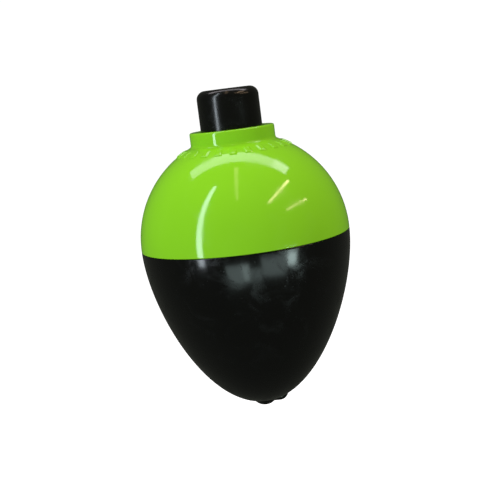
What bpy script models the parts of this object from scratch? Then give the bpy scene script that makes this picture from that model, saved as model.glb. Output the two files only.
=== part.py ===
"""Pear-shaped clip-on bobber float, 32 mm across.

A dome and a pear-shaped hull join at a seam round the widest part. A spring-loaded push
button stands in the dome's collar, and a wire runs through the whole float with a line
hook at each end. Pressing the button and the wire together opens the lower hook, and
pressing the button's rim alone, down along the wire, opens the upper one.

The float's axis is Z, and the origin is on it, level with the end of the hull's boss.
Heights in the design are measured from the seam, and to_world adds SEAM_HEIGHT to them.
"""

import math

import bmesh
import bpy
from mathutils import Matrix, Vector

MM = 0.001

# Driving dimensions, in metres. Heights are above the seam, and below it they are negative.
HULL_RADIUS = 15.875 * MM          # a float of 1 1/4 inch
WALL = 1.3 * MM                    # moulded wall of both shells
GAP = 0.3 * MM                     # between pieces that rest on or in each other
STROKE = 7.4 * MM                  # of the button in its bore, down to the spigot

# Pear-shaped hull: a cubic curve, upright at the seam and level at the nose.
NOSE_DEPTH = 25.6 * MM
SHOULDER_PULL = 9.15 * MM          # how far the curve holds the seam's radius
NOSE_PULL = 9.0 * MM               # how far the curve holds the nose's level
BOSS_RADIUS = 1.85 * MM            # boss round the wire's hole, a cap of a ball
BOSS_BALL = 2.2 * MM
BOSS_DEPTH = 26.25 * MM            # at the edge of the hole
SEAM_HEIGHT = BOSS_DEPTH           # puts the boss's end level with the origin

# Lap joint at the seam: a lip of the hull stands inside a rebate of the dome.
LIP_HEIGHT = 1.5 * MM
LIP_THICKNESS = 0.5 * MM

# Dome, collar and guide tube. The dome is a half ball over a short upright band.
SEAM_BAND = 0.15 * MM
COLLAR_RADIUS = 6.4 * MM
COLLAR_TOP = 16.8 * MM
COLLAR_BEVEL = 0.25 * MM
BORE_RADIUS = 5.0 * MM
TUBE_RADIUS = 6.2 * MM
TUBE_BOTTOM = -3.0 * MM

# Hull stem: a thin tube with a spigot that closes the dome's guide tube.
SPIGOT_RADIUS = BORE_RADIUS - GAP
SPIGOT_TOP = 0.0 * MM              # the return spring stands on it
STEM_FLANGE = 1.2 * MM
STEM_RADIUS = 3.6 * MM
STEM_BORE = 2.4 * MM
NOSE_FLOOR = -21.4 * MM            # the hull is solid from here down

# Push button.
BUTTON_RADIUS = 4.65 * MM
BUTTON_TOP = 22.75 * MM
BUTTON_BOTTOM = SPIGOT_TOP + STROKE + GAP
BUTTON_ROUND = 1.3 * MM
BUTTON_CAVITY_RADIUS = 3.6 * MM
BUTTON_CAVITY_TOP = 18.75 * MM

# Wire with a hook at each end, both on the +X side.
WIRE_RADIUS = 0.6 * MM
WIRE_HOLE = 0.8 * MM               # radius of its holes and half the width of its slots
HOOK_REACH = 3.05 * MM             # from the axis to the hook's tip
HOOK_BEND = 0.8 * MM               # radius of the bends, to the wire's centre
HOOK_TIP = 2.3 * MM                # the tip's length, from the crossbar's centre
HOOK_SINK = 0.2 * MM               # depth of the upper crossbar below the button's top
LOWER_CROSSBAR = -25.35 * MM       # heights of the crossbars' centres
UPPER_CROSSBAR = BUTTON_TOP - HOOK_SINK - WIRE_RADIUS

# Return spring, round the wire inside the button.
SPRING_WIRE = 0.3 * MM             # radius
SPRING_RADIUS = 3.0 * MM           # to the wire's centre
SPRING_TURNS = 9.0
SPRING_END_TURNS = 0.9             # the closed turns at each end
SPRING_CLOSED_PITCH = 0.7 * MM

OVERCUT = 1.0 * MM                 # how far a cutter stands out of the face it cuts

# Fineness of the facets.
ROUND_SEGMENTS = 48
SLOT_SEGMENTS = 16
DOME_STEPS = 12
HULL_STEPS = 14
INNER_STEPS = 9
ROUND_STEPS = 5
WIRE_BEVEL_RESOLUTION = 2
SPRING_POINTS_PER_TURN = 12
SHARP_ANGLE = math.radians(35)

LIME = (0.24, 0.60, 0.023, 1.0)
BLACK = (0.006, 0.006, 0.006, 1.0)
DARK_STEEL = (0.03, 0.03, 0.03, 1.0)
STEEL = (0.55, 0.55, 0.53, 1.0)


def clear_scene():
    for obj in list(bpy.data.objects):
        bpy.data.objects.remove(obj)


def collection(name):
    made = bpy.data.collections.new(name)
    bpy.context.scene.collection.children.link(made)
    return made


def material(name, colour, roughness, metallic=0.0):
    made = bpy.data.materials.new(name)
    made.use_nodes = True
    shader = made.node_tree.nodes["Principled BSDF"]
    shader.inputs["Base Color"].default_value = colour
    shader.inputs["Roughness"].default_value = roughness
    shader.inputs["Metallic"].default_value = metallic
    return made


def to_world(height):
    return height + SEAM_HEIGHT


# Outlines are lists of (radius, height above the seam).


def arc(centre, radius, start, end, steps):
    """Points of an arc, with its angles in radians from the outward radial direction."""
    points = []
    for i in range(steps + 1):
        angle = start + (end - start) * i / steps
        points.append((centre[0] + radius * math.cos(angle), centre[1] + radius * math.sin(angle)))
    return points


def pear_point(t, inset=0.0):
    """The hull's outer curve at t, from the seam at 0 to the nose at 1, moved inwards by inset."""
    control = (
        Vector((HULL_RADIUS, 0)),
        Vector((HULL_RADIUS, -SHOULDER_PULL)),
        Vector((NOSE_PULL, -NOSE_DEPTH)),
        Vector((0, -NOSE_DEPTH)),
    )
    s = 1 - t
    point = (
        s**3 * control[0]
        + 3 * s**2 * t * control[1]
        + 3 * s * t**2 * control[2]
        + t**3 * control[3]
    )
    slope = (
        s**2 * (control[1] - control[0])
        + 2 * s * t * (control[2] - control[1])
        + t**2 * (control[3] - control[2])
    )
    inwards = Vector((slope.y, -slope.x)).normalized()
    return tuple(point + inwards * inset)


def pear_until(reached, inset=0.0):
    """The curve's parameter where reached(point) first holds."""
    low, high = 0.0, 1.0
    for _ in range(40):
        middle = (low + high) / 2
        if reached(pear_point(middle, inset)):
            high = middle
        else:
            low = middle
    return high


def dome_outline():
    collar_base = math.acos(COLLAR_RADIUS / HULL_RADIUS)
    inner_radius = HULL_RADIUS - WALL
    tube_top = math.acos(TUBE_RADIUS / inner_radius)
    rebate_radius = inner_radius + LIP_THICKNESS + GAP
    rebate_top = LIP_HEIGHT + GAP
    rebate_angle = math.asin((rebate_top - SEAM_BAND) / inner_radius)
    rim_angle = math.asin((GAP - SEAM_BAND) / HULL_RADIUS)
    centre = (0, SEAM_BAND)
    return [
        (BORE_RADIUS, COLLAR_TOP),
        (COLLAR_RADIUS - COLLAR_BEVEL, COLLAR_TOP),
        (COLLAR_RADIUS, COLLAR_TOP - COLLAR_BEVEL),
        *arc(centre, HULL_RADIUS, collar_base, rim_angle, DOME_STEPS),
        (rebate_radius, GAP),
        (rebate_radius, rebate_top),
        *arc(centre, inner_radius, rebate_angle, tube_top, INNER_STEPS),
        (TUBE_RADIUS, TUBE_BOTTOM),
        (BORE_RADIUS, TUBE_BOTTOM),
    ]


def hull_outline():
    boss_start = pear_until(lambda point: point[0] <= BOSS_RADIUS)
    floor = pear_until(lambda point: point[1] <= NOSE_FLOOR, WALL)
    outer = [pear_point(boss_start * i / HULL_STEPS) for i in range(HULL_STEPS + 1)]
    inner = [pear_point(floor * (1 - i / INNER_STEPS), WALL) for i in range(INNER_STEPS)]
    boss_edge = -math.acos(BOSS_RADIUS / BOSS_BALL)
    hole_edge = -math.acos(WIRE_HOLE / BOSS_BALL)
    boss_centre = (0, -BOSS_DEPTH - BOSS_BALL * math.sin(hole_edge))
    inner_radius = HULL_RADIUS - WALL
    flange_bottom = TUBE_BOTTOM - GAP - STEM_FLANGE
    return [
        (inner_radius, LIP_HEIGHT),
        (inner_radius + LIP_THICKNESS, LIP_HEIGHT),
        (inner_radius + LIP_THICKNESS, 0),
        *outer,
        *arc(boss_centre, BOSS_BALL, boss_edge, hole_edge, ROUND_STEPS),
        (WIRE_HOLE, NOSE_FLOOR),
        (STEM_BORE, NOSE_FLOOR + STEM_BORE - WIRE_HOLE),
        (STEM_BORE, SPIGOT_TOP),
        (SPIGOT_RADIUS, SPIGOT_TOP),
        (SPIGOT_RADIUS, TUBE_BOTTOM - GAP),
        (TUBE_RADIUS, TUBE_BOTTOM - GAP),
        (TUBE_RADIUS, flange_bottom),
        (STEM_RADIUS, flange_bottom),
        (STEM_RADIUS, NOSE_FLOOR),
        *inner,
    ]


def button_outline():
    corner = (BUTTON_RADIUS - BUTTON_ROUND, BUTTON_TOP - BUTTON_ROUND)
    return [
        (WIRE_HOLE, BUTTON_TOP),
        *arc(corner, BUTTON_ROUND, math.pi / 2, 0, ROUND_STEPS),
        (BUTTON_RADIUS, BUTTON_BOTTOM),
        (BUTTON_CAVITY_RADIUS, BUTTON_BOTTOM),
        (BUTTON_CAVITY_RADIUS, BUTTON_CAVITY_TOP),
        (WIRE_HOLE, BUTTON_CAVITY_TOP),
    ]


def turned(name, outline, finish, parent, into):
    """A closed outline, clockwise as seen with the axis on its left, turned about the axis."""
    mesh = bpy.data.meshes.new(name)
    points = [(radius, 0, to_world(height) - parent.location.z) for radius, height in outline]
    edges = [(i, (i + 1) % len(points)) for i in range(len(points))]
    mesh.from_pydata(points, edges, [])
    mesh.materials.append(finish)
    obj = bpy.data.objects.new(name, mesh)
    obj.parent = parent
    into.objects.link(obj)
    screw = obj.modifiers.new("turn", "SCREW")
    screw.steps = ROUND_SEGMENTS
    screw.render_steps = ROUND_SEGMENTS
    screw.use_merge_vertices = True
    screw.merge_threshold = 0.00001
    return obj


def slot_cutter(name, bottom, top, reach, into):
    """An upright slot from the axis to reach along +X, as wide as the wire's hole."""
    mesh = bpy.data.meshes.new(name)
    shape = bmesh.new()
    bmesh.ops.create_cone(
        shape,
        cap_ends=True,
        segments=SLOT_SEGMENTS,
        radius1=WIRE_HOLE,
        radius2=WIRE_HOLE,
        depth=top - bottom,
    )
    half_segment = math.pi / SLOT_SEGMENTS
    bmesh.ops.rotate(shape, verts=shape.verts, matrix=Matrix.Rotation(half_segment, 3, "Z"))
    far_half = [vertex for vertex in shape.verts if vertex.co.x > 0]
    bmesh.ops.translate(shape, verts=far_half, vec=(reach, 0, 0))
    shape.to_mesh(mesh)
    shape.free()
    obj = bpy.data.objects.new(name, mesh)
    obj.location.z = to_world((top + bottom) / 2)
    into.objects.link(obj)
    return obj


def tip_cutter(name, bottom, top, into):
    """A round hole for a hook's tip."""
    obj = slot_cutter(name, bottom, top, 0.0, into)
    obj.location.x = HOOK_REACH
    return obj


def cut(obj, cutters):
    for cutter in cutters:
        cutter.hide_render = True
        cutter.display_type = "WIRE"
        boolean = obj.modifiers.new(cutter.name, "BOOLEAN")
        boolean.operation = "DIFFERENCE"
        boolean.solver = "EXACT"
        boolean.object = cutter


def shade_round(obj):
    """Puts the modifiers' result into the object's own mesh, smooth between its sharp corners."""
    evaluated = obj.evaluated_get(bpy.context.evaluated_depsgraph_get())
    mesh = bpy.data.meshes.new_from_object(evaluated)
    mesh.shade_smooth()
    mesh.set_sharp_from_angle(angle=SHARP_ANGLE)
    obj.modifiers.clear()
    obj.data = mesh


def bent_wire(name, points, radius, finish, parent, into):
    data = bpy.data.curves.new(name, "CURVE")
    data.dimensions = "3D"
    data.bevel_depth = radius
    data.bevel_resolution = WIRE_BEVEL_RESOLUTION
    data.use_fill_caps = True
    spline = data.splines.new("POLY")
    spline.points.add(len(points) - 1)
    for point, (x, y, height) in zip(spline.points, points):
        point.co = (x, y, to_world(height) - parent.location.z, 1)
    data.materials.append(finish)
    obj = bpy.data.objects.new(name, data)
    obj.parent = parent
    into.objects.link(obj)
    return obj


def hook_points(crossbar, side):
    """The wire from a hook's tip to the axis. side is 1 for a tip that points up, -1 for down."""
    towards_tip = crossbar + side * HOOK_BEND
    outer = arc((HOOK_REACH - HOOK_BEND, towards_tip), HOOK_BEND, 0, -side * math.pi / 2, ROUND_STEPS)
    inner = arc((HOOK_BEND, towards_tip), HOOK_BEND, -side * math.pi / 2, -side * math.pi, ROUND_STEPS)
    return [(HOOK_REACH, crossbar + side * HOOK_TIP), *outer, *inner]


def hook_wire_points():
    lower = hook_points(LOWER_CROSSBAR, 1)
    upper = hook_points(UPPER_CROSSBAR, -1)
    return [(x, 0, height) for x, height in lower + upper[::-1]]


def spring_points():
    """A helix whose end turns lie close together, as on a compression spring."""
    bottom = SPIGOT_TOP + GAP + SPRING_WIRE
    top = BUTTON_CAVITY_TOP - GAP - SPRING_WIRE
    end_turns = 2 * SPRING_END_TURNS
    open_pitch = (top - bottom - end_turns * SPRING_CLOSED_PITCH) / (SPRING_TURNS - end_turns)
    count = round(SPRING_TURNS * SPRING_POINTS_PER_TURN)
    points = []
    for i in range(count + 1):
        turn = SPRING_TURNS * i / count
        closed = min(turn, SPRING_END_TURNS) + max(turn - SPRING_TURNS + SPRING_END_TURNS, 0)
        height = bottom + closed * SPRING_CLOSED_PITCH + (turn - closed) * open_pitch
        angle = turn * 2 * math.pi
        points.append((SPRING_RADIUS * math.cos(angle), SPRING_RADIUS * math.sin(angle), height))
    return points


def pivot(name, height, into):
    """An empty on the float's axis, which carries the pieces that move together."""
    empty = bpy.data.objects.new(name, None)
    empty.location.z = to_world(height)
    empty.empty_display_size = 5 * MM
    into.objects.link(empty)
    return empty


def main():
    clear_scene()
    parts = collection("bobber_float")
    cutters = collection("cutters")

    lime = material("lime_plastic", LIME, 0.12)
    black = material("black_plastic", BLACK, 0.15)
    dark_steel = material("blackened_wire", DARK_STEEL, 0.3, 1.0)
    steel = material("spring_steel", STEEL, 0.3, 1.0)

    body = pivot("float_body", 0, parts)
    hook = pivot("hook_slide", LOWER_CROSSBAR, parts)
    button = pivot("button_slide", BUTTON_TOP, parts)

    upper_shell = turned("upper_shell", dome_outline(), lime, body, parts)
    lower_shell = turned("lower_shell", hull_outline(), black, body, parts)
    push_button = turned("push_button", button_outline(), black, button, parts)
    bent_wire("hook_wire", hook_wire_points(), WIRE_RADIUS, dark_steel, hook, parts)
    bent_wire("return_spring", spring_points(), SPRING_WIRE, steel, body, parts)

    # Each slot opens past the face that it is cut in, and leaves GAP round the wire.
    slot_room = WIRE_RADIUS + GAP
    tip_room = HOOK_TIP + GAP
    hull_face = -BOSS_DEPTH - OVERCUT
    button_face = BUTTON_TOP + OVERCUT
    slot = slot_cutter("hull_slot", hull_face, LOWER_CROSSBAR + slot_room, HOOK_REACH, cutters)
    tip_hole = tip_cutter("hull_tip_hole", hull_face, LOWER_CROSSBAR + tip_room, cutters)
    cut(lower_shell, [slot, tip_hole])
    slot = slot_cutter("button_slot", UPPER_CROSSBAR - slot_room, button_face, HOOK_REACH, cutters)
    tip_hole = tip_cutter("button_tip_hole", UPPER_CROSSBAR - tip_room, button_face, cutters)
    cut(push_button, [slot, tip_hole])

    for obj in (upper_shell, lower_shell, push_button):
        shade_round(obj)


main()
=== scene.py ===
"""Clip-on bobber float: the finished pieces, their materials, and a small studio.

Every piece is modelled round the frame's solids, in metres, with the float's axis on Z and
both line hooks on the +X side. Run as a script, it builds the pieces and then the studio.
"""

import math

import bpy
from bpy.props import FloatProperty, FloatVectorProperty, IntProperty, PointerProperty
from mathutils import Matrix, Vector


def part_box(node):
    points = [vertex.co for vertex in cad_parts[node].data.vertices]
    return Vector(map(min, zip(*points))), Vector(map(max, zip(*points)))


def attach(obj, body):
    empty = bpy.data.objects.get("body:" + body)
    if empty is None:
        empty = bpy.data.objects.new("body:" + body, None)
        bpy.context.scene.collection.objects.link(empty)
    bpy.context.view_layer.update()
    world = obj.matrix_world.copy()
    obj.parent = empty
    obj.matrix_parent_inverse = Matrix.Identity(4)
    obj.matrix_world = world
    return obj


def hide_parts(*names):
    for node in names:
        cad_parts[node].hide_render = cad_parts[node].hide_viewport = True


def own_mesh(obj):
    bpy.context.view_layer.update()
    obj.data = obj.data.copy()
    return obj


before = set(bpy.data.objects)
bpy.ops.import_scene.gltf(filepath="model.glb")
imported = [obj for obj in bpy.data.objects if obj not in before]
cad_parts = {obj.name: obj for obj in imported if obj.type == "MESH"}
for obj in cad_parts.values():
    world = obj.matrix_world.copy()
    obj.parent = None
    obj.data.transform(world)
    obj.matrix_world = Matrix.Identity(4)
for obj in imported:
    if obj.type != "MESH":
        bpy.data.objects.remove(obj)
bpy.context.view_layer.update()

bl_info = {
    "name": "Bobber Float",
    "version": (1, 0, 0),
    "blender": (4, 5, 0),
    "location": "3D View > Sidebar > Bobber",
    "description": "Models a clip-on bobber float and the studio it is shown in",
    "category": "Add Mesh",
}

MM = 0.001
MERGE = 0.001 * MM                 # vertices closer than this are one
NEAR = 0.005 * MM                  # how exactly a corner is found by its place
FLAT_MARGIN = 0.12 * MM            # from a rounding to the point that holds a straight flat
CUTTER_SIDES = 48
CUTTER_CLEAR = 1.0 * MM            # how far a cutter stands out of the face that it cuts
SLOT_ROOM = 0.3 * MM               # left between the wire and the end of its slot or hole
SHARP_ANGLE = math.radians(35)     # edges sharper than this are shaded sharp

DOME_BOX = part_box("upper_shell")
HULL_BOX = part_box("lower_shell")
BUTTON_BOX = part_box("push_button")
WIRE_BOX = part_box("hook_wire")
SPRING_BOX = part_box("return_spring")


# --------------------------------------
# Settings
# --------------------------------------


def length(name, description, default):
    return FloatProperty(
        name=name,
        description=description,
        default=default,
        min=0.0,
        precision=5,
        subtype="DISTANCE",
        unit="LENGTH",
    )


def colour(name, description, default):
    return FloatVectorProperty(
        name=name,
        description=description,
        default=default,
        size=3,
        min=0.0,
        max=1.0,
        subtype="COLOR",
    )


class BobberSizes(bpy.types.PropertyGroup):
    """Sizes of the float. Its overall sizes come from the frame, and the rest are set here."""

    hull_radius: length("Float radius", "Half the float's width at its seam", DOME_BOX[1].x)
    wall: length("Wall", "Thickness of both moulded shells", 1.3 * MM)
    lip_height: length("Lip height", "How far the hull's lip stands up inside the dome", 1.5 * MM)
    lip_thickness: length("Lip thickness", "Thickness of the hull's lip", 0.5 * MM)
    seam_line: length("Seam line", "Width of the open line at the seam", 0.04 * MM)
    seam_band: length("Seam band", "Height of the upright band under the dome", 0.15 * MM)
    collar_radius: length("Collar radius", "Outer radius of the collar", 6.4 * MM)
    collar_fillet: length("Collar fillet", "Hollow rounding where the collar meets the dome", 0.35 * MM)
    bore_radius: length("Bore radius", "Inner radius of the collar and guide tube", 5.0 * MM)
    tube_radius: length("Tube radius", "Outer radius of the guide tube", 6.2 * MM)
    rib_height: length("Rib height", "How far the grip ribs stand out of the dome", 0.15 * MM)
    rib_slope: length("Rib slope", "Width of the slope round each grip rib", 0.20 * MM)
    rib_edge: length("Rib edge", "Rounding of the edge of each grip rib's top", 0.09 * MM)
    nose_depth: length("Nose depth", "Depth of the hull's nose below the seam", 25.6 * MM)
    shoulder_pull: length("Shoulder pull", "How far the hull keeps its full width", 9.15 * MM)
    nose_pull: length("Nose pull", "How far the hull's nose stays level", 9.0 * MM)
    boss_radius: length("Boss radius", "Radius of the boss round the wire's hole", 1.85 * MM)
    boss_ball: length("Boss ball", "Radius of the ball that the boss is a cap of", 2.2 * MM)
    spigot_clearance: length("Spigot clearance", "From the hull's spigot to the guide tube", 0.3 * MM)
    stem_flange: length("Stem flange", "Thickness of the flange under the guide tube", 1.2 * MM)
    stem_radius: length("Stem radius", "Outer radius of the hull's stem", 3.6 * MM)
    stem_bore: length("Stem bore", "Inner radius of the hull's stem", 2.4 * MM)
    nose_floor: length("Nose floor", "Depth below the seam from which the nose is solid", 21.4 * MM)
    button_rounding: length("Button rounding", "Rounding of the button's top edge", 1.3 * MM)
    button_cavity: length("Button cavity", "Inner radius of the button", 3.6 * MM)
    button_crown: length("Button crown", "Thickness of the button's top", 4.0 * MM)
    wire_hole: length("Wire hole", "Radius of the wire's holes", 0.8 * MM)
    slot_half: length("Slot half width", "Half a slot's width, just under a hole's radius", 0.78 * MM)
    hook_reach: length("Hook reach", "From the axis to the tips of the hooks", 3.05 * MM)
    hook_bend: length("Hook bend", "Radius of the wire's bends", 0.8 * MM)
    hook_tip: length("Hook tip", "Length of the tips, from the crossbar's centre", 2.3 * MM)
    hook_end: length("Hook end", "Rounding of the wire's two cut ends", 0.18 * MM)
    spring_wire: length("Spring wire", "Radius of the return spring's wire", 0.3 * MM)
    spring_turns: FloatProperty(
        name="Spring turns", description="Turns of the return spring", default=9.0, min=3.0
    )
    closed_turns: FloatProperty(
        name="Closed turns", description="Turns at each end that lie close together", default=0.9, min=0.0
    )
    closed_pitch: length("Closed pitch", "Pitch of the closed end turns", 0.7 * MM)
    segments: IntProperty(
        name="Segments", description="Faces round each turned piece", default=192, min=24
    )


class BobberColours(bpy.types.PropertyGroup):
    """Colours of the plastics and the wire."""

    lime: colour("Lime", "Dome and collar", (0.30, 0.76, 0.020))
    lime_flow: colour("Lime flow marks", "Flow marks in the dome", (0.27, 0.71, 0.017))
    black: colour("Black", "Hull", (0.0019, 0.0021, 0.0019))
    black_flow: colour("Black flow marks", "Flow marks in the hull", (0.0032, 0.0034, 0.0030))
    button: colour("Button black", "Push button", (0.0024, 0.0027, 0.0020))
    button_flow: colour("Button flow marks", "Flow marks in the button", (0.0040, 0.0044, 0.0034))
    wire: colour("Blackened wire", "Hook wire", (0.060, 0.062, 0.058))
    wire_worn: colour("Worn wire", "Hook wire where its finish is rubbed off", (0.26, 0.25, 0.23))
    steel: colour("Spring steel", "Return spring", (0.55, 0.55, 0.53))
    steel_worn: colour("Worn steel", "Return spring where it is rubbed", (0.66, 0.65, 0.62))


class BobberStudio(bpy.types.PropertyGroup):
    """Where the camera and the floor are."""

    distance: length("Camera distance", "From the camera to the float's seam", 160.0 * MM)
    azimuth: FloatProperty(
        name="Azimuth",
        description="How far the camera stands round to the float's +X side",
        default=math.radians(5.0),
        subtype="ANGLE",
        unit="ROTATION",
    )
    elevation: FloatProperty(
        name="Elevation",
        description="How far the camera looks down",
        default=math.radians(9.17),
        subtype="ANGLE",
        unit="ROTATION",
    )
    roll: FloatProperty(
        name="Roll",
        description="How far the float leans to the left in the view",
        default=math.radians(7.2),
        subtype="ANGLE",
        unit="ROTATION",
    )
    lens: FloatProperty(name="Lens", description="Focal length in millimetres", default=75.6, min=1.0)
    aim_right: length("Aim right", "How far right of the seam's centre the camera looks", 0.69 * MM)
    aim_down: length("Aim down", "How far below the seam's centre the camera looks", 1.81 * MM)
    floor_drop: length("Floor drop", "How far below the float the floor is", 250.0 * MM)


# --------------------------------------
# Outlines. Each is a list of (radius, height) points in the float's frame.
# --------------------------------------


def seam_height(sizes):
    return HULL_BOX[1].z - sizes.lip_height


def arc(centre, radius, start, end, steps):
    """Points of an arc, with its angles in radians from the outward radial direction."""
    points = []
    for i in range(steps + 1):
        angle = start + (end - start) * i / steps
        points.append((centre[0] + radius * math.cos(angle), centre[1] + radius * math.sin(angle)))
    return points


def pear_point(sizes, t, inset=0.0):
    """The hull's curve at t, from the seam at 0 to the nose at 1, moved inwards by inset."""
    seam = seam_height(sizes)
    control = (
        Vector((sizes.hull_radius, seam)),
        Vector((sizes.hull_radius, seam - sizes.shoulder_pull)),
        Vector((sizes.nose_pull, seam - sizes.nose_depth)),
        Vector((0, seam - sizes.nose_depth)),
    )
    s = 1 - t
    point = (
        s**3 * control[0]
        + 3 * s**2 * t * control[1]
        + 3 * s * t**2 * control[2]
        + t**3 * control[3]
    )
    slope = (
        s**2 * (control[1] - control[0])
        + 2 * s * t * (control[2] - control[1])
        + t**2 * (control[3] - control[2])
    )
    inwards = Vector((slope.y, -slope.x)).normalized()
    return tuple(point + inwards * inset)


def pear_until(sizes, reached, inset=0.0):
    """The curve's parameter where reached(point) first holds."""
    low, high = 0.0, 1.0
    for _ in range(40):                  # halvings, down to rounding error
        middle = (low + high) / 2
        if reached(pear_point(sizes, middle, inset)):
            high = middle
        else:
            low = middle
    return high


# --------------------------------------
# Modelling
# --------------------------------------


def start_clean():
    """Deselects everything, so that operators act on the new piece alone, and picks vertex selection."""
    if bpy.context.object and bpy.context.object.mode != "OBJECT":
        bpy.ops.object.mode_set(mode="OBJECT")
    bpy.ops.object.select_all(action="DESELECT")
    bpy.context.tool_settings.mesh_select_mode = (True, False, False)


def select_vertices(piece, wanted):
    """Selects, in edit mode, the vertices whose place wanted(place) accepts."""
    bpy.ops.mesh.select_mode(type="VERT")
    bpy.ops.mesh.select_all(action="DESELECT")
    bpy.ops.object.mode_set(mode="OBJECT")
    for vertex in piece.data.vertices:
        vertex.select = wanted(vertex.co)
    bpy.ops.object.mode_set(mode="EDIT")


def select_faces(piece, wanted):
    """Selects, in edit mode, the faces whose centre and normal wanted(centre, normal) accepts."""
    bpy.ops.mesh.select_mode(type="FACE")
    bpy.ops.mesh.select_all(action="DESELECT")
    bpy.ops.object.mode_set(mode="OBJECT")
    for face in piece.data.polygons:
        face.select = wanted(face.center, face.normal)
    bpy.ops.object.mode_set(mode="EDIT")


def near(point):
    """A test of place: at the point (radius, height) on the +X side."""
    target = Vector((point[0], 0, point[1]))
    return lambda place: (place - target).length < NEAR


def held_flat(outline, roundings):
    """The outline with one more point close beyond each rounding, so that long straights shade flat."""
    reach = {corner: radius + FLAT_MARGIN for corner, radius, _ in roundings}
    points = []
    for here, there in zip(outline, outline[1:] + outline[:1]):
        straight = Vector(there) - Vector(here)
        first = reach.get(here, 0)
        last = straight.length - reach.get(there, 0)
        points.append(here)
        if last - first < FLAT_MARGIN:
            continue
        if here in reach:
            points.append(tuple(Vector(here) + straight.normalized() * first))
        if there in reach:
            points.append(tuple(Vector(here) + straight.normalized() * last))
    return points


def turned_piece(name, outline, roundings, segments):
    """Draws a closed outline by extruding one vertex round it, rounds its corners, and spins it about Z.

    roundings is a list of (corner, radius, steps), with each corner a point of the outline.
    """
    outline = held_flat(outline, roundings)
    start_clean()
    bpy.ops.mesh.primitive_plane_add(size=MM, location=(0, 0, 0))
    piece = bpy.context.object
    piece.name = name
    piece.data.name = name
    bpy.ops.object.mode_set(mode="EDIT")
    bpy.ops.mesh.select_all(action="SELECT")
    bpy.ops.mesh.merge(type="COLLAPSE")
    bpy.ops.transform.translate(value=(outline[0][0], 0, outline[0][1]))
    for here, there in zip(outline, outline[1:] + outline[:1]):
        step = (there[0] - here[0], 0, there[1] - here[1])
        bpy.ops.mesh.extrude_region_move(TRANSFORM_OT_translate={"value": step})
    bpy.ops.mesh.select_all(action="SELECT")
    bpy.ops.mesh.remove_doubles(threshold=MERGE)
    for corner, radius, steps in roundings:
        select_vertices(piece, near(corner))
        bpy.ops.mesh.bevel(affect="VERTICES", offset=radius, segments=steps)
    bpy.ops.mesh.select_all(action="SELECT")
    bpy.ops.mesh.spin(steps=segments, angle=2 * math.pi, center=(0, 0, 0), axis=(0, 0, 1))
    bpy.ops.mesh.select_all(action="SELECT")
    bpy.ops.mesh.remove_doubles(threshold=MERGE)
    bpy.ops.mesh.normals_make_consistent(inside=False)
    bpy.ops.object.mode_set(mode="OBJECT")
    return piece


def select_only(piece):
    """Makes the piece the one that operators act on."""
    start_clean()
    bpy.context.view_layer.objects.active = piece
    piece.select_set(True)


def round_cutter(x, radius, bottom, top):
    """An upright round cutter at x on the +X side."""
    start_clean()
    bpy.ops.mesh.primitive_cylinder_add(
        vertices=CUTTER_SIDES, radius=radius, depth=top - bottom, location=(x, 0, (top + bottom) / 2)
    )
    bpy.ops.object.transform_apply(location=True, rotation=True, scale=True)
    return bpy.context.object


def slot_cutter(reach, half_width, bottom, top):
    """An upright cutter with round ends, from the axis to reach along +X."""
    cutter = round_cutter(0, half_width, bottom, top)
    bpy.ops.object.mode_set(mode="EDIT")
    select_vertices(cutter, lambda place: place.x > MERGE)
    bpy.ops.transform.translate(value=(reach, 0, 0))
    bpy.ops.object.mode_set(mode="OBJECT")
    return cutter


def cut_out(piece, cutter):
    """Cuts the cutter out of the piece and removes it."""
    select_only(piece)
    bpy.ops.object.modifier_add(type="BOOLEAN")
    cut = piece.modifiers[-1]
    cut.operation = "DIFFERENCE"
    cut.solver = "EXACT"
    cut.object = cutter
    bpy.ops.object.modifier_apply(modifier=cut.name)
    bpy.data.objects.remove(cutter)


def finish_piece(piece, material, body, replaced):
    """Smooths the piece, gives it its material, and hands it to the body that it moves with."""
    select_only(piece)
    bpy.ops.object.transform_apply(location=True, rotation=True, scale=True)
    bpy.ops.object.shade_smooth_by_angle(angle=SHARP_ANGLE)
    piece.data.materials.clear()
    piece.data.materials.append(material)
    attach(piece, body)
    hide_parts(replaced)


# --------------------------------------
# Materials
# --------------------------------------


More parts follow.
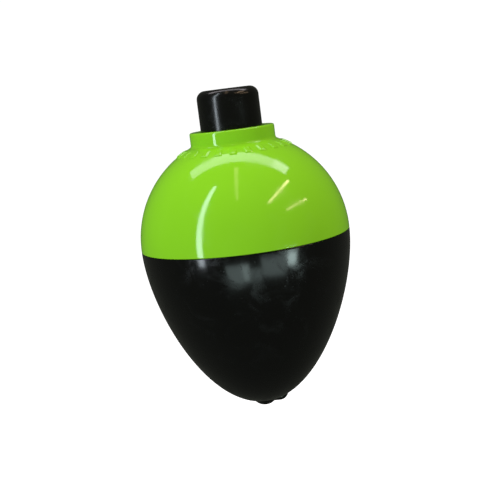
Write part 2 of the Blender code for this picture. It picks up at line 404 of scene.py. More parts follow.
def moulded_plastic(name, colour, flow_colour, gloss, dull, waviness):
    """Glossy moulded plastic with flow marks, smudges, hairline scratches and a slightly wavy skin.

    gloss and dull are the roughness of clean and of smudged skin, and waviness the depth of
    the mould's waves in metres.
    """
    material = bpy.data.materials.new(name)
    material.use_nodes = True
    nodes = material.node_tree.nodes
    links = material.node_tree.links
    nodes.clear()

    output = nodes.new("ShaderNodeOutputMaterial")
    output.label = "Float surface"
    output.location = (1500, 100)
    shader = nodes.new("ShaderNodeBsdfPrincipled")
    shader.label = "Moulded plastic"
    shader.location = (1200, 100)
    shader.inputs["IOR"].default_value = 1.5
    place = nodes.new("ShaderNodeTexCoord")
    place.label = "Place on the float"
    place.location = (-1100, 0)

    flow_frame = nodes.new("NodeFrame")
    flow_frame.label = "Flow marks from moulding"
    stretch = nodes.new("ShaderNodeMapping")
    stretch.label = "Stretched down the float"
    stretch.location = (-850, 500)
    stretch.parent = flow_frame
    stretch.inputs["Scale"].default_value = (1.0, 1.0, 0.45)
    flow = nodes.new("ShaderNodeTexNoise")
    flow.label = "Slow swirls"
    flow.location = (-600, 500)
    flow.parent = flow_frame
    flow.inputs["Scale"].default_value = 95.0
    flow.inputs["Detail"].default_value = 4.0
    flow.inputs["Distortion"].default_value = 0.8
    tint = nodes.new("ShaderNodeMix")
    tint.label = "Plastic colour"
    tint.location = (-300, 500)
    tint.parent = flow_frame
    tint.data_type = "RGBA"
    tint.inputs["A"].default_value = (*colour, 1.0)
    tint.inputs["B"].default_value = (*flow_colour, 1.0)

    smudge_frame = nodes.new("NodeFrame")
    smudge_frame.label = "Finger smudges and scuffs"
    smudge = nodes.new("ShaderNodeTexNoise")
    smudge.label = "Smudge patches"
    smudge.location = (-850, 100)
    smudge.parent = smudge_frame
    smudge.inputs["Scale"].default_value = 300.0
    smudge.inputs["Detail"].default_value = 7.0
    smudge.inputs["Roughness"].default_value = 0.62
    smudge.inputs["Distortion"].default_value = 0.7
    smudge_edge = nodes.new("ShaderNodeMapRange")
    smudge_edge.label = "Only the strongest patches"
    smudge_edge.location = (-600, 100)
    smudge_edge.parent = smudge_frame
    smudge_edge.interpolation_type = "SMOOTHSTEP"
    smudge_edge.inputs["From Min"].default_value = 0.45
    smudge_edge.inputs["From Max"].default_value = 0.70
    scratch_turn = nodes.new("ShaderNodeMapping")
    scratch_turn.label = "Slanted scratches"
    scratch_turn.location = (-850, -250)
    scratch_turn.parent = smudge_frame
    scratch_turn.inputs["Rotation"].default_value = (0.5, 0.9, 0.3)
    scratch_turn.inputs["Scale"].default_value = (1.0, 0.035, 1.0)
    scratch = nodes.new("ShaderNodeTexNoise")
    scratch.label = "Hairlines"
    scratch.location = (-600, -250)
    scratch.parent = smudge_frame
    scratch.inputs["Scale"].default_value = 2600.0
    scratch.inputs["Detail"].default_value = 1.0
    scratch_edge = nodes.new("ShaderNodeMapRange")
    scratch_edge.label = "Thin the hairlines"
    scratch_edge.location = (-350, -250)
    scratch_edge.parent = smudge_frame
    scratch_edge.inputs["From Min"].default_value = 0.69
    scratch_edge.inputs["From Max"].default_value = 0.78
    wear = nodes.new("ShaderNodeMath")
    wear.label = "Smudges or scratches"
    wear.location = (-100, 0)
    wear.parent = smudge_frame
    wear.operation = "MAXIMUM"
    roughness = nodes.new("ShaderNodeMapRange")
    roughness.label = "Clean gloss to dull"
    roughness.location = (150, 0)
    roughness.parent = smudge_frame
    roughness.inputs["To Min"].default_value = gloss
    roughness.inputs["To Max"].default_value = dull

    skin_frame = nodes.new("NodeFrame")
    skin_frame.label = "Skin relief"
    waves = nodes.new("ShaderNodeTexNoise")
    waves.label = "Mould waves"
    waves.location = (150, -450)
    waves.parent = skin_frame
    waves.inputs["Scale"].default_value = 150.0
    waves.inputs["Detail"].default_value = 1.0
    wave_bump = nodes.new("ShaderNodeBump")
    wave_bump.label = "Wavy skin"
    wave_bump.location = (450, -450)
    wave_bump.parent = skin_frame
    wave_bump.inputs["Strength"].default_value = 1.0
    wave_bump.inputs["Distance"].default_value = waviness
    scratch_bump = nodes.new("ShaderNodeBump")
    scratch_bump.label = "Scratch grooves"
    scratch_bump.location = (750, -450)
    scratch_bump.parent = skin_frame
    scratch_bump.invert = True
    scratch_bump.inputs["Strength"].default_value = 0.25
    scratch_bump.inputs["Distance"].default_value = 0.0015 * MM

    links.new(place.outputs["Object"], stretch.inputs["Vector"])
    links.new(stretch.outputs["Vector"], flow.inputs["Vector"])
    links.new(flow.outputs["Fac"], tint.inputs["Factor"])
    links.new(tint.outputs["Result"], shader.inputs["Base Color"])
    links.new(place.outputs["Object"], smudge.inputs["Vector"])
    links.new(smudge.outputs["Fac"], smudge_edge.inputs["Value"])
    links.new(place.outputs["Object"], scratch_turn.inputs["Vector"])
    links.new(scratch_turn.outputs["Vector"], scratch.inputs["Vector"])
    links.new(scratch.outputs["Fac"], scratch_edge.inputs["Value"])
    links.new(smudge_edge.outputs["Result"], wear.inputs[0])
    links.new(scratch_edge.outputs["Result"], wear.inputs[1])
    links.new(wear.outputs["Value"], roughness.inputs["Value"])
    links.new(roughness.outputs["Result"], shader.inputs["Roughness"])
    links.new(place.outputs["Object"], waves.inputs["Vector"])
    links.new(waves.outputs["Fac"], wave_bump.inputs["Height"])
    links.new(wave_bump.outputs["Normal"], scratch_bump.inputs["Normal"])
    links.new(scratch_edge.outputs["Result"], scratch_bump.inputs["Height"])
    links.new(scratch_bump.outputs["Normal"], shader.inputs["Normal"])
    links.new(shader.outputs["BSDF"], output.inputs["Surface"])
    return material


def drawn_metal(name, colour, worn_colour, polish, dull):
    """Drawn wire: fine lines along it, worn brighter in patches. polish and dull are roughness."""
    material = bpy.data.materials.new(name)
    material.use_nodes = True
    nodes = material.node_tree.nodes
    links = material.node_tree.links
    nodes.clear()

    output = nodes.new("ShaderNodeOutputMaterial")
    output.label = "Wire surface"
    output.location = (1200, 100)
    shader = nodes.new("ShaderNodeBsdfPrincipled")
    shader.label = "Steel wire"
    shader.location = (900, 100)
    shader.inputs["Metallic"].default_value = 1.0
    place = nodes.new("ShaderNodeTexCoord")
    place.label = "Place on the wire"
    place.location = (-900, 0)

    wear_frame = nodes.new("NodeFrame")
    wear_frame.label = "Worn patches"
    patches = nodes.new("ShaderNodeTexNoise")
    patches.label = "Rubbed patches"
    patches.location = (-600, 300)
    patches.parent = wear_frame
    patches.inputs["Scale"].default_value = 900.0
    patches.inputs["Detail"].default_value = 5.0
    patch_edge = nodes.new("ShaderNodeMapRange")
    patch_edge.label = "Only the high spots"
    patch_edge.location = (-350, 300)
    patch_edge.parent = wear_frame
    patch_edge.interpolation_type = "SMOOTHSTEP"
    patch_edge.inputs["From Min"].default_value = 0.5
    patch_edge.inputs["From Max"].default_value = 0.75
    tint = nodes.new("ShaderNodeMix")
    tint.label = "Finish worn through"
    tint.location = (-100, 300)
    tint.parent = wear_frame
    tint.data_type = "RGBA"
    tint.inputs["A"].default_value = (*colour, 1.0)
    tint.inputs["B"].default_value = (*worn_colour, 1.0)
    roughness = nodes.new("ShaderNodeMapRange")
    roughness.label = "Dull finish to rubbed metal"
    roughness.location = (150, 100)
    roughness.parent = wear_frame
    roughness.inputs["To Min"].default_value = dull
    roughness.inputs["To Max"].default_value = polish

    line_frame = nodes.new("NodeFrame")
    line_frame.label = "Drawing lines"
    along = nodes.new("ShaderNodeMapping")
    along.label = "Drawn out along the wire"
    along.location = (-600, -250)
    along.parent = line_frame
    along.inputs["Scale"].default_value = (1.0, 1.0, 0.03)
    lines = nodes.new("ShaderNodeTexNoise")
    lines.label = "Die lines"
    lines.location = (-350, -250)
    lines.parent = line_frame
    lines.inputs["Scale"].default_value = 9000.0
    lines.inputs["Detail"].default_value = 2.0
    line_bump = nodes.new("ShaderNodeBump")
    line_bump.label = "Fine lines"
    line_bump.location = (150, -250)
    line_bump.parent = line_frame
    line_bump.inputs["Strength"].default_value = 0.4
    line_bump.inputs["Distance"].default_value = 0.004 * MM

    links.new(place.outputs["Object"], patches.inputs["Vector"])
    links.new(patches.outputs["Fac"], patch_edge.inputs["Value"])
    links.new(patch_edge.outputs["Result"], tint.inputs["Factor"])
    links.new(tint.outputs["Result"], shader.inputs["Base Color"])
    links.new(patch_edge.outputs["Result"], roughness.inputs["Value"])
    links.new(roughness.outputs["Result"], shader.inputs["Roughness"])
    links.new(place.outputs["Object"], along.inputs["Vector"])
    links.new(along.outputs["Vector"], lines.inputs["Vector"])
    links.new(lines.outputs["Fac"], line_bump.inputs["Height"])
    links.new(line_bump.outputs["Normal"], shader.inputs["Normal"])
    links.new(shader.outputs["BSDF"], output.inputs["Surface"])
    return material


# --------------------------------------
# Pieces
# --------------------------------------

RIB_SPAN = (math.radians(27.5), math.radians(33.5))    # from the axis, seen from the dome's centre
RIB_PERIOD = 8                                         # segments from rib to rib
RIB_WIDTH = 4                                          # segments in a rib


class BOBBER_OT_upper_shell(bpy.types.Operator):
    """Model the lime dome with its collar, grip ribs and guide tube"""

    bl_idname = "bobber.upper_shell"
    bl_label = "Upper Shell"

    def execute(self, context):
        sizes = context.scene.bobber_sizes
        colours = context.scene.bobber_colours
        seam = seam_height(sizes)
        centre = (0, seam + sizes.seam_band)
        inner_radius = sizes.hull_radius - sizes.wall
        rebate_radius = inner_radius + sizes.lip_thickness + sizes.seam_line
        rebate_top = HULL_BOX[1].z + sizes.seam_line
        rim = seam + sizes.seam_line
        collar_top = DOME_BOX[1].z
        tube_bottom = DOME_BOX[0].z
        collar_base = math.acos(sizes.collar_radius / sizes.hull_radius)
        rib_top = math.pi / 2 - RIB_SPAN[0]
        rib_bottom = math.pi / 2 - RIB_SPAN[1]
        tube_top = math.acos(sizes.tube_radius / inner_radius)
        rebate_angle = math.asin((rebate_top - centre[1]) / inner_radius)

        top_inner = (sizes.bore_radius, collar_top)
        top_outer = (sizes.collar_radius, collar_top)
        dome_top = arc(centre, sizes.hull_radius, collar_base, rib_top, steps=4)
        rib_band = arc(centre, sizes.hull_radius, rib_top, rib_bottom, steps=6)
        dome_side = arc(centre, sizes.hull_radius, rib_bottom, 0, steps=44)
        dome_inside = arc(centre, inner_radius, rebate_angle, tube_top, steps=40)
        rim_outer = (sizes.hull_radius, rim)
        rim_inner = (rebate_radius, rim)
        outline = [
            top_inner,
            top_outer,
            *dome_top,
            *rib_band[1:],
            *dome_side[1:],
            rim_outer,
            rim_inner,
            (rebate_radius, rebate_top),
            *dome_inside,
            (sizes.tube_radius, tube_bottom),
            (sizes.bore_radius, tube_bottom),
        ]
        roundings = [
            (top_inner, 0.15 * MM, 4),
            (top_outer, 0.28 * MM, 5),
            (dome_top[0], sizes.collar_fillet, 5),
            (rim_outer, 0.10 * MM, 3),
            (rim_inner, 0.10 * MM, 2),
            ((sizes.tube_radius, tube_bottom), 0.2 * MM, 3),
            ((sizes.bore_radius, tube_bottom), 0.2 * MM, 3),
        ]
        piece = turned_piece("dome_shell", outline, roundings, sizes.segments)

        # Grip ribs: every few segments of one band of the dome, raised with a slope all round.
        def on_rib(place, normal):
            from_centre = place - Vector((0, 0, centre[1]))
            polar = from_centre.angle(Vector((0, 0, 1)))
            segment = math.degrees(math.atan2(place.y, place.x)) * sizes.segments / 360
            outside = from_centre.length > inner_radius + sizes.wall / 2
            in_band = RIB_SPAN[0] < polar < RIB_SPAN[1]
            return outside and in_band and normal.z > 0 and segment % RIB_PERIOD < RIB_WIDTH

        bpy.ops.object.mode_set(mode="EDIT")
        select_faces(piece, on_rib)
        bpy.ops.mesh.inset(thickness=sizes.rib_slope, depth=sizes.rib_height)
        bpy.ops.mesh.region_to_loop()
        bpy.ops.mesh.bevel(offset=sizes.rib_edge, segments=3, affect="EDGES")
        bpy.ops.object.mode_set(mode="OBJECT")

        material = moulded_plastic(
            "lime_plastic",
            colours.lime,
            colours.lime_flow,
            gloss=0.07,
            dull=0.16,
            waviness=0.010 * MM,
        )
        finish_piece(piece, material, "float_body", "upper_shell")
        return {"FINISHED"}


class BOBBER_OT_lower_shell(bpy.types.Operator):
    """Model the black pear-shaped hull with its lip, stem, boss and hook slot"""

    bl_idname = "bobber.lower_shell"
    bl_label = "Lower Shell"

    def execute(self, context):
        sizes = context.scene.bobber_sizes
        colours = context.scene.bobber_colours
        seam = seam_height(sizes)
        lip_top = HULL_BOX[1].z
        inner_radius = sizes.hull_radius - sizes.wall
        lip_radius = inner_radius + sizes.lip_thickness
        nose_floor = seam - sizes.nose_floor
        tube_bottom = DOME_BOX[0].z - sizes.seam_line
        spigot_radius = sizes.bore_radius - sizes.spigot_clearance
        boss_start = pear_until(sizes, lambda point: point[0] <= sizes.boss_radius)
        floor = pear_until(sizes, lambda point: point[1] <= nose_floor, sizes.wall)
        outer_steps = 64
        inner_steps = 36
        outer = [pear_point(sizes, boss_start * i / outer_steps) for i in range(outer_steps + 1)]
        inner = [pear_point(sizes, floor * (1 - i / inner_steps), sizes.wall) for i in range(inner_steps)]
        boss_edge = -math.acos(sizes.boss_radius / sizes.boss_ball)
        hole_edge = -math.acos(sizes.wire_hole / sizes.boss_ball)
        boss_bottom = HULL_BOX[0].z
        boss_centre = (0, boss_bottom - sizes.boss_ball * math.sin(hole_edge))
        boss = arc(boss_centre, sizes.boss_ball, boss_edge, hole_edge, steps=12)

        stem_start = (sizes.stem_bore, nose_floor + sizes.stem_bore - sizes.wire_hole)
        flange_bottom = tube_bottom - sizes.stem_flange
        outline = [
            (inner_radius, lip_top),
            (lip_radius, lip_top),
            (lip_radius, seam),
            *outer,
            *boss,
            (sizes.wire_hole, nose_floor),
            stem_start,
            (sizes.stem_bore, seam),
            (spigot_radius, seam),
            (spigot_radius, tube_bottom),
            (sizes.tube_radius, tube_bottom),
            (sizes.tube_radius, flange_bottom),
            (sizes.stem_radius, flange_bottom),
            (sizes.stem_radius, nose_floor),
            *inner,
        ]
        roundings = [
            ((inner_radius, lip_top), 0.12 * MM, 3),
            ((lip_radius, lip_top), 0.12 * MM, 3),
            (outer[0], 0.10 * MM, 3),
            (outer[-1], 0.12 * MM, 3),
            (boss[-1], 0.10 * MM, 4),
            ((sizes.stem_bore, seam), 0.12 * MM, 3),
            ((spigot_radius, seam), 0.25 * MM, 3),
            ((sizes.tube_radius, tube_bottom), 0.12 * MM, 3),
            ((sizes.tube_radius, flange_bottom), 0.12 * MM, 3),
            ((sizes.stem_radius, flange_bottom), 0.3 * MM, 3),
            ((sizes.stem_radius, nose_floor), 0.4 * MM, 4),
        ]
        piece = turned_piece("hull_shell", outline, roundings, sizes.segments)

        # The hook's crossbar lies in a slot, and its tip in a hole at the slot's end.
        wire_radius = WIRE_BOX[1].y
        slot_top = WIRE_BOX[0].z + 2 * wire_radius + SLOT_ROOM
        tip_top = WIRE_BOX[0].z + wire_radius + sizes.hook_tip + SLOT_ROOM
        bottom = boss_bottom - CUTTER_CLEAR
        cut_out(piece, slot_cutter(sizes.hook_reach, sizes.slot_half, bottom, slot_top))
        cut_out(piece, round_cutter(sizes.hook_reach, sizes.wire_hole, bottom, tip_top))

        material = moulded_plastic(
            "black_plastic",
            colours.black,
            colours.black_flow,
            gloss=0.14,
            dull=0.36,
            waviness=0.010 * MM,
        )
        finish_piece(piece, material, "float_body", "lower_shell")
        return {"FINISHED"}


class BOBBER_OT_push_button(bpy.types.Operator):
    """Model the black push button, hollow below, with the upper hook's slot"""

    bl_idname = "bobber.push_button"
    bl_label = "Push Button"

    def execute(self, context):
        sizes = context.scene.bobber_sizes
        colours = context.scene.bobber_colours
        radius = BUTTON_BOX[1].x
        top = BUTTON_BOX[1].z
        bottom = BUTTON_BOX[0].z
        crown = top - sizes.button_crown
        top_outer = (radius, top)
        top_inner = (sizes.wire_hole, top)
        outline = [
            top_inner,
            top_outer,
            (radius, bottom),
            (sizes.button_cavity, bottom),
            (sizes.button_cavity, crown),
            (sizes.wire_hole, crown),
        ]
        roundings = [
            (top_inner, 0.15 * MM, 5),
            (top_outer, sizes.button_rounding, 14),
            ((radius, bottom), 0.25 * MM, 4),
            ((sizes.button_cavity, bottom), 0.15 * MM, 3),
            ((sizes.button_cavity, crown), 0.3 * MM, 3),
        ]
        piece = turned_piece("button_cap", outline, roundings, sizes.segments)

        # The slot and the tip's hole of the upper hook.
        wire_radius = WIRE_BOX[1].y
        slot_bottom = WIRE_BOX[1].z - 2 * wire_radius - SLOT_ROOM
        tip_bottom = WIRE_BOX[1].z - wire_radius - sizes.hook_tip - SLOT_ROOM
        cut_top = top + CUTTER_CLEAR
        cut_out(piece, slot_cutter(sizes.hook_reach, sizes.slot_half, slot_bottom, cut_top))
        cut_out(piece, round_cutter(sizes.hook_reach, sizes.wire_hole, tip_bottom, cut_top))

        material = moulded_plastic(
            "button_plastic",
            colours.button,
            colours.button_flow,
            gloss=0.20,
            dull=0.32,
            waviness=0.006 * MM,
        )
        finish_piece(piece, material, "button", "push_button")
        return {"FINISHED"}


class BOBBER_OT_hook_wire(bpy.types.Operator):
    """Model the one wire that runs through the float, bent into a hook at each end"""

    bl_idname = "bobber.hook_wire"
    bl_label = "Hook Wire"

    def execute(self, context):
        sizes = context.scene.bobber_sizes
        colours = context.scene.bobber_colours
        radius = WIRE_BOX[1].y
        lower = WIRE_BOX[0].z + radius
        upper = WIRE_BOX[1].z - radius
        bend = sizes.hook_bend
        straight = sizes.hook_reach - 2 * bend
        quarter_turn = -math.pi / 2          # spin turns clockwise for a positive angle
        bend_steps = 12

        start_clean()
        bpy.ops.mesh.primitive_circle_add(
            vertices=32, radius=radius, location=(sizes.hook_reach, 0, lower + sizes.hook_tip)
        )
        piece = bpy.context.object
        piece.name = "line_hook_wire"
        piece.data.name = "line_hook_wire"
        bpy.ops.object.mode_set(mode="EDIT")
        bpy.ops.mesh.select_all(action="SELECT")

        def draw(x, z):
            bpy.ops.mesh.extrude_region_move(TRANSFORM_OT_translate={"value": (x, 0, z)})

        def bend_round(x, z):
            bpy.ops.mesh.spin(steps=bend_steps, angle=quarter_turn, center=(x, 0, z), axis=(0, 1, 0))

        draw(0, bend - sizes.hook_tip)
        bend_round(sizes.hook_reach - bend, lower + bend)
        draw(-straight, 0)
        bend_round(bend, lower + bend)
        draw(0, upper - lower - 2 * bend)
        bend_round(bend, upper - bend)
        draw(straight, 0)
        bend_round(sizes.hook_reach - bend, upper - bend)
        draw(0, bend - sizes.hook_tip)

        # Both ends are cut square and lightly rounded. tip_side leaves out the wire's long straight.
        tip_side = sizes.hook_reach - 1.1 * radius
        bpy.ops.object.mode_set(mode="OBJECT")
        bpy.ops.object.transform_apply(location=True, rotation=True, scale=True)
        bpy.ops.object.mode_set(mode="EDIT")
        for end in (lower + sizes.hook_tip, upper - sizes.hook_tip):
            select_vertices(piece, lambda place: place.x > tip_side and abs(place.z - end) < NEAR)
            bpy.ops.mesh.edge_face_add()
            bpy.ops.mesh.bevel(offset=sizes.hook_end, segments=4, affect="EDGES")
        bpy.ops.mesh.select_all(action="SELECT")
        bpy.ops.mesh.remove_doubles(threshold=MERGE)
        bpy.ops.mesh.normals_make_consistent(inside=False)
        bpy.ops.object.mode_set(mode="OBJECT")

        material = drawn_metal(
            "blackened_wire", colours.wire, colours.wire_worn, polish=0.16, dull=0.27
        )
        finish_piece(piece, material, "hook", "hook_wire")
        return {"FINISHED"}


class BOBBER_OT_return_spring(bpy.types.Operator):
    """Model the return spring as two halves that close up with the two strokes"""

    bl_idname = "bobber.return_spring"
    bl_label = "Return Spring"

    def execute(self, context):
        sizes = context.scene.bobber_sizes
        colours = context.scene.bobber_colours
        bottom, top = SPRING_BOX[0].z, SPRING_BOX[1].z
        middle = (bottom + top) / 2
        wire_radius = sizes.spring_wire
        coil_radius = SPRING_BOX[1].x - wire_radius
        half_turns = sizes.spring_turns / 2
        open_turns = half_turns - sizes.closed_turns
        closed_rise = sizes.closed_turns * sizes.closed_pitch
        open_rise = (middle - bottom - wire_radius) - closed_rise
        steps_per_turn = 40
        material = drawn_metal("spring_steel", colours.steel, colours.steel_worn, polish=0.16, dull=0.3)

        # Name, direction from its end, end, body, joint that closes it, and height that stays put.
        halves = (
            ("spring_lower_half", 1, bottom, "float_body", "hook_press", bottom),
            ("spring_upper_half", -1, top, "hook", "button_press", middle),
        )
        for name, side, end, body, joint, anchor in halves:
            start_clean()
            bpy.ops.mesh.primitive_circle_add(
                vertices=14,
                radius=wire_radius,
                location=(coil_radius, 0, end + side * wire_radius),
                rotation=(math.pi / 2, 0, 0),
            )
            piece = bpy.context.object
            piece.name = name
            piece.data.name = name
            bpy.ops.object.transform_apply(location=True, rotation=True, scale=True)
            bpy.ops.object.mode_set(mode="EDIT")
            for turns, rise in ((sizes.closed_turns, closed_rise), (open_turns, open_rise)):
                steps = round(turns * steps_per_turn)
                for _ in range(steps):
                    bpy.ops.mesh.extrude_region_move(
                        TRANSFORM_OT_translate={"value": (0, 0, side * rise / steps)}
                    )
                    bpy.ops.transform.rotate(
                        value=-side * 2 * math.pi * turns / steps,
                        orient_axis="Z",
                        center_override=(0, 0, 0),
                    )
            bpy.ops.mesh.select_all(action="DESELECT")
            bpy.ops.mesh.select_non_manifold(
                extend=False, use_wire=False, use_boundary=True, use_multi_face=False,
                use_non_contiguous=False, use_verts=False,
            )
            bpy.ops.mesh.edge_face_add()
            bpy.ops.mesh.select_all(action="SELECT")
            bpy.ops.mesh.normals_make_consistent(inside=False)
            bpy.ops.object.mode_set(mode="OBJECT")
            finish_piece(piece, material, body, "return_spring")
            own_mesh(piece)
        return {"FINISHED"}


# --------------------------------------
# Studio
# --------------------------------------


def area_light(name, place, turn, width, depth, radiance, tint, lights_matt=True):
    """A rectangular light. radiance is how bright it looks in a mirror, 1 being white.

    With lights_matt off it shows in gloss alone.
    """
    bpy.ops.object.light_add(type="AREA", location=place, rotation=turn)
    light = bpy.context.object
    light.name = name
    light.data.name = name
    light.data.shape = "RECTANGLE"
    light.data.size = width
    light.data.size_y = depth
    light.data.energy = radiance * 4 * width * depth
    light.data.color = tint
    light.visible_camera = False
    light.visible_diffuse = lights_matt


def pale_floor(studio):
    """The floor: a wide matt plane, faintly lit from itself, which stays out of the float's gloss."""
    bpy.ops.mesh.primitive_plane_add(size=8.0, location=(0, 0, -studio.floor_drop))
    floor = bpy.context.object
    floor.name = "studio_floor"
    floor.visible_glossy = False
    floor.visible_diffuse = False

    material = bpy.data.materials.new("pale_floor")
    material.use_nodes = True
    nodes = material.node_tree.nodes
    links = material.node_tree.links
    nodes.clear()
    output = nodes.new("ShaderNodeOutputMaterial")
    output.label = "Floor surface"
    output.location = (300, 0)
    shader = nodes.new("ShaderNodeBsdfPrincipled")
    shader.label = "Pale and matt, with a faint glow"
    shader.location = (0, 0)
    shader.inputs["Base Color"].default_value = (0.9, 0.9, 0.9, 1.0)
    shader.inputs["Roughness"].default_value = 0.9
    shader.inputs["Emission Color"].default_value = (1.0, 1.0, 1.0, 1.0)
    shader.inputs["Emission Strength"].default_value = 0.7
    links.new(shader.outputs["BSDF"], output.inputs["Surface"])
    floor.data.materials.append(material)


def lights(middle):
    """Ceiling lights, a tall slit of window and low windows, all placed from the seam's centre."""
    daylight = (1.0, 0.93, 0.98)
    cool = (0.82, 0.92, 1.0)
    grey = (0.78, 1.0, 0.97)
    warm = (1.0, 0.70, 0.44)
    quarter = math.pi / 2

    # Facing straight down: offset, turn about Z, width, depth, radiance and tint.
    overhead = (
        ("overhead_bank", (0.04, 0.26, 1.0), 0.0, 1.55, 0.28, 2.7, daylight),
        ("overhead_bank_end", (0.66, 0.30, 0.99), 0.0, 0.3, 0.3, 1.8, daylight),
        ("ceiling_tube_near", (0.0, -0.45, 1.0), 0.0, 0.06, 0.85, 2.4, warm),
        ("ceiling_tube_middle", (0.90, -0.46, 1.0), -0.13, 0.07, 1.0, 13.0, warm),
        ("ceiling_tube_far", (1.93, -0.50, 1.0), -0.28, 0.14, 1.2, 9.0, warm),
    )
    for name, offset, turned, width, depth, radiance, tint in overhead:
        area_light(name, middle + Vector(offset), (0, 0, turned), width, depth, radiance, tint)

    # The slit stands one metre away at the front left, and starts a little below the seam.
    slit_azimuth = math.radians(-135.4)
    slit_width = 0.115
    slit_height = 2.2
    slit_foot = middle.z - 0.27
    area_light(
        "window_slit",
        (math.cos(slit_azimuth), math.sin(slit_azimuth), slit_foot + slit_height / 2),
        (quarter, 0, slit_azimuth + quarter),
        slit_width,
        slit_height,
        8.2,
        cool,
    )

    # Seen only as reflections: azimuth, elevation, width and height in degrees, then radiance.
    low_windows = (
        ("low_window_right", 52.0, -15.0, 10.5, 14.0, 7.4),
        ("low_window_middle", 32.0, -20.0, 27.0, 18.0, 1.35),
        ("low_window_sill", 12.0, -24.5, 12.5, 13.0, 1.2),
        ("low_window_post", 1.5, -22.5, 7.0, 16.0, 2.8),
        ("low_window_left", -10.5, -23.5, 17.0, 19.0, 1.5),
    )
    card_distance = 0.25
    for name, azimuth, elevation, width, height, radiance in low_windows:
        around = math.radians(azimuth)
        rise = math.radians(elevation)
        level = math.cos(rise)
        away = Vector((math.sin(around) * level, -math.cos(around) * level, math.sin(rise)))
        area_light(
            name,
            middle + away * card_distance,
            (quarter + rise, 0, around),
            card_distance * math.radians(width) * level,
            card_distance * math.radians(height),
            radiance,
            grey,
            lights_matt=False,
        )


def surroundings():
    """A world that the camera sees as white, matt surfaces as a soft fill, and gloss as a dim room."""
    world = bpy.data.worlds.new("studio_surroundings")
    world.use_nodes = True
    nodes = world.node_tree.nodes
    links = world.node_tree.links
    nodes.clear()
    output = nodes.new("ShaderNodeOutputWorld")
    output.label = "Surroundings"
    output.location = (650, 0)

    look_frame = nodes.new("NodeFrame")
    look_frame.label = "The three looks of the surroundings"
    backdrop = nodes.new("ShaderNodeBackground")
    backdrop.label = "White backdrop"
    backdrop.location = (0, 150)
    backdrop.parent = look_frame
    backdrop.inputs["Color"].default_value = (1.0, 1.0, 1.0, 1.0)
    backdrop.inputs["Strength"].default_value = 1.05
    fill = nodes.new("ShaderNodeBackground")
    fill.label = "Soft fill"
    fill.location = (0, 0)
    fill.parent = look_frame
    fill.inputs["Color"].default_value = (1.0, 1.0, 1.0, 1.0)
    fill.inputs["Strength"].default_value = 0.45
    room = nodes.new("ShaderNodeBackground")
    room.label = "Dim room in reflections"
    room.location = (0, -150)
    room.parent = look_frame
    room.inputs["Color"].default_value = (0.94, 1.0, 0.84, 1.0)
    room.inputs["Strength"].default_value = 0.07

    choice_frame = nodes.new("NodeFrame")
    choice_frame.label = "Which look shows"
    seen = nodes.new("ShaderNodeLightPath")
    seen.label = "How the surroundings are seen"
    seen.location = (0, 500)
    seen.parent = choice_frame
    indirect = nodes.new("ShaderNodeMixShader")
    indirect.label = "Fill or reflection"
    indirect.location = (250, -50)
    indirect.parent = choice_frame
    mix = nodes.new("ShaderNodeMixShader")
    mix.label = "Backdrop or indirect"
    mix.location = (450, 0)
    mix.parent = choice_frame

    links.new(seen.outputs["Is Glossy Ray"], indirect.inputs["Fac"])
    links.new(fill.outputs["Background"], indirect.inputs[1])
    links.new(room.outputs["Background"], indirect.inputs[2])
    links.new(seen.outputs["Is Camera Ray"], mix.inputs["Fac"])
    links.new(indirect.outputs["Shader"], mix.inputs[1])
    links.new(backdrop.outputs["Background"], mix.inputs[2])
    links.new(mix.outputs["Shader"], output.inputs["Surface"])
    return world


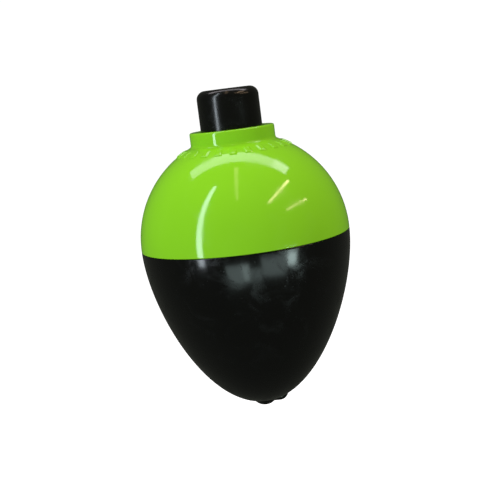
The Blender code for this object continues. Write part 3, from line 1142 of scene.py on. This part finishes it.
def studio_camera(studio, middle):
    """The camera, which looks at the float's front from a little above and is rolled to lean it."""
    turn = studio.azimuth
    tilt = studio.elevation
    level = Vector((math.cos(turn), math.sin(turn), 0))
    back = Vector((math.sin(turn) * math.cos(tilt), -math.cos(turn) * math.cos(tilt), math.sin(tilt)))
    upright = back.cross(level)
    right = math.cos(studio.roll) * level - math.sin(studio.roll) * upright
    up = math.sin(studio.roll) * level + math.cos(studio.roll) * upright
    place = middle + studio.aim_right * right - studio.aim_down * up + studio.distance * back
    facing = Matrix((right, up, back)).transposed()
    bpy.ops.object.camera_add(location=place, rotation=facing.to_euler())
    camera = bpy.context.object
    camera.name = "studio_camera"
    camera.data.lens = studio.lens
    camera.data.sensor_width = 36.0
    camera.data.clip_start = 0.01
    camera.data.clip_end = 50.0
    return camera


class BOBBER_OT_studio(bpy.types.Operator):
    """Set up the pale floor, the soft lights, the white surroundings and the camera"""

    bl_idname = "bobber.studio"
    bl_label = "Studio"

    def execute(self, context):
        scene = context.scene
        studio = scene.bobber_studio
        middle = Vector((0, 0, seam_height(scene.bobber_sizes)))
        start_clean()
        pale_floor(studio)
        lights(middle)
        scene.world = surroundings()
        scene.camera = studio_camera(studio, middle)
        scene.view_settings.view_transform = "Standard"
        return {"FINISHED"}


# --------------------------------------
# Panel and registration
# --------------------------------------

PIECE_OPERATORS = (
    BOBBER_OT_upper_shell,
    BOBBER_OT_lower_shell,
    BOBBER_OT_push_button,
    BOBBER_OT_hook_wire,
    BOBBER_OT_return_spring,
)
OPERATORS = (*PIECE_OPERATORS, BOBBER_OT_studio)


class BOBBER_PT_panel(bpy.types.Panel):
    """Builds the float piece by piece"""

    bl_idname = "BOBBER_PT_panel"
    bl_label = "Bobber Float"
    bl_space_type = "VIEW_3D"
    bl_region_type = "UI"
    bl_category = "Bobber"

    def draw(self, context):
        column = self.layout.column(align=True)
        for operator in OPERATORS:
            column.operator(operator.bl_idname)


CLASSES = (BobberSizes, BobberColours, BobberStudio, *OPERATORS, BOBBER_PT_panel)


def register():
    for item in CLASSES:
        bpy.utils.register_class(item)
    bpy.types.Scene.bobber_sizes = PointerProperty(type=BobberSizes)
    bpy.types.Scene.bobber_colours = PointerProperty(type=BobberColours)
    bpy.types.Scene.bobber_studio = PointerProperty(type=BobberStudio)


def unregister():
    del bpy.types.Scene.bobber_studio
    del bpy.types.Scene.bobber_colours
    del bpy.types.Scene.bobber_sizes
    for item in reversed(CLASSES):
        bpy.utils.unregister_class(item)


def main():
    register()
    bpy.ops.bobber.upper_shell()
    bpy.ops.bobber.lower_shell()
    bpy.ops.bobber.push_button()
    bpy.ops.bobber.hook_wire()
    bpy.ops.bobber.return_spring()
    bpy.ops.bobber.studio()


if __name__ == "__main__":
    main()
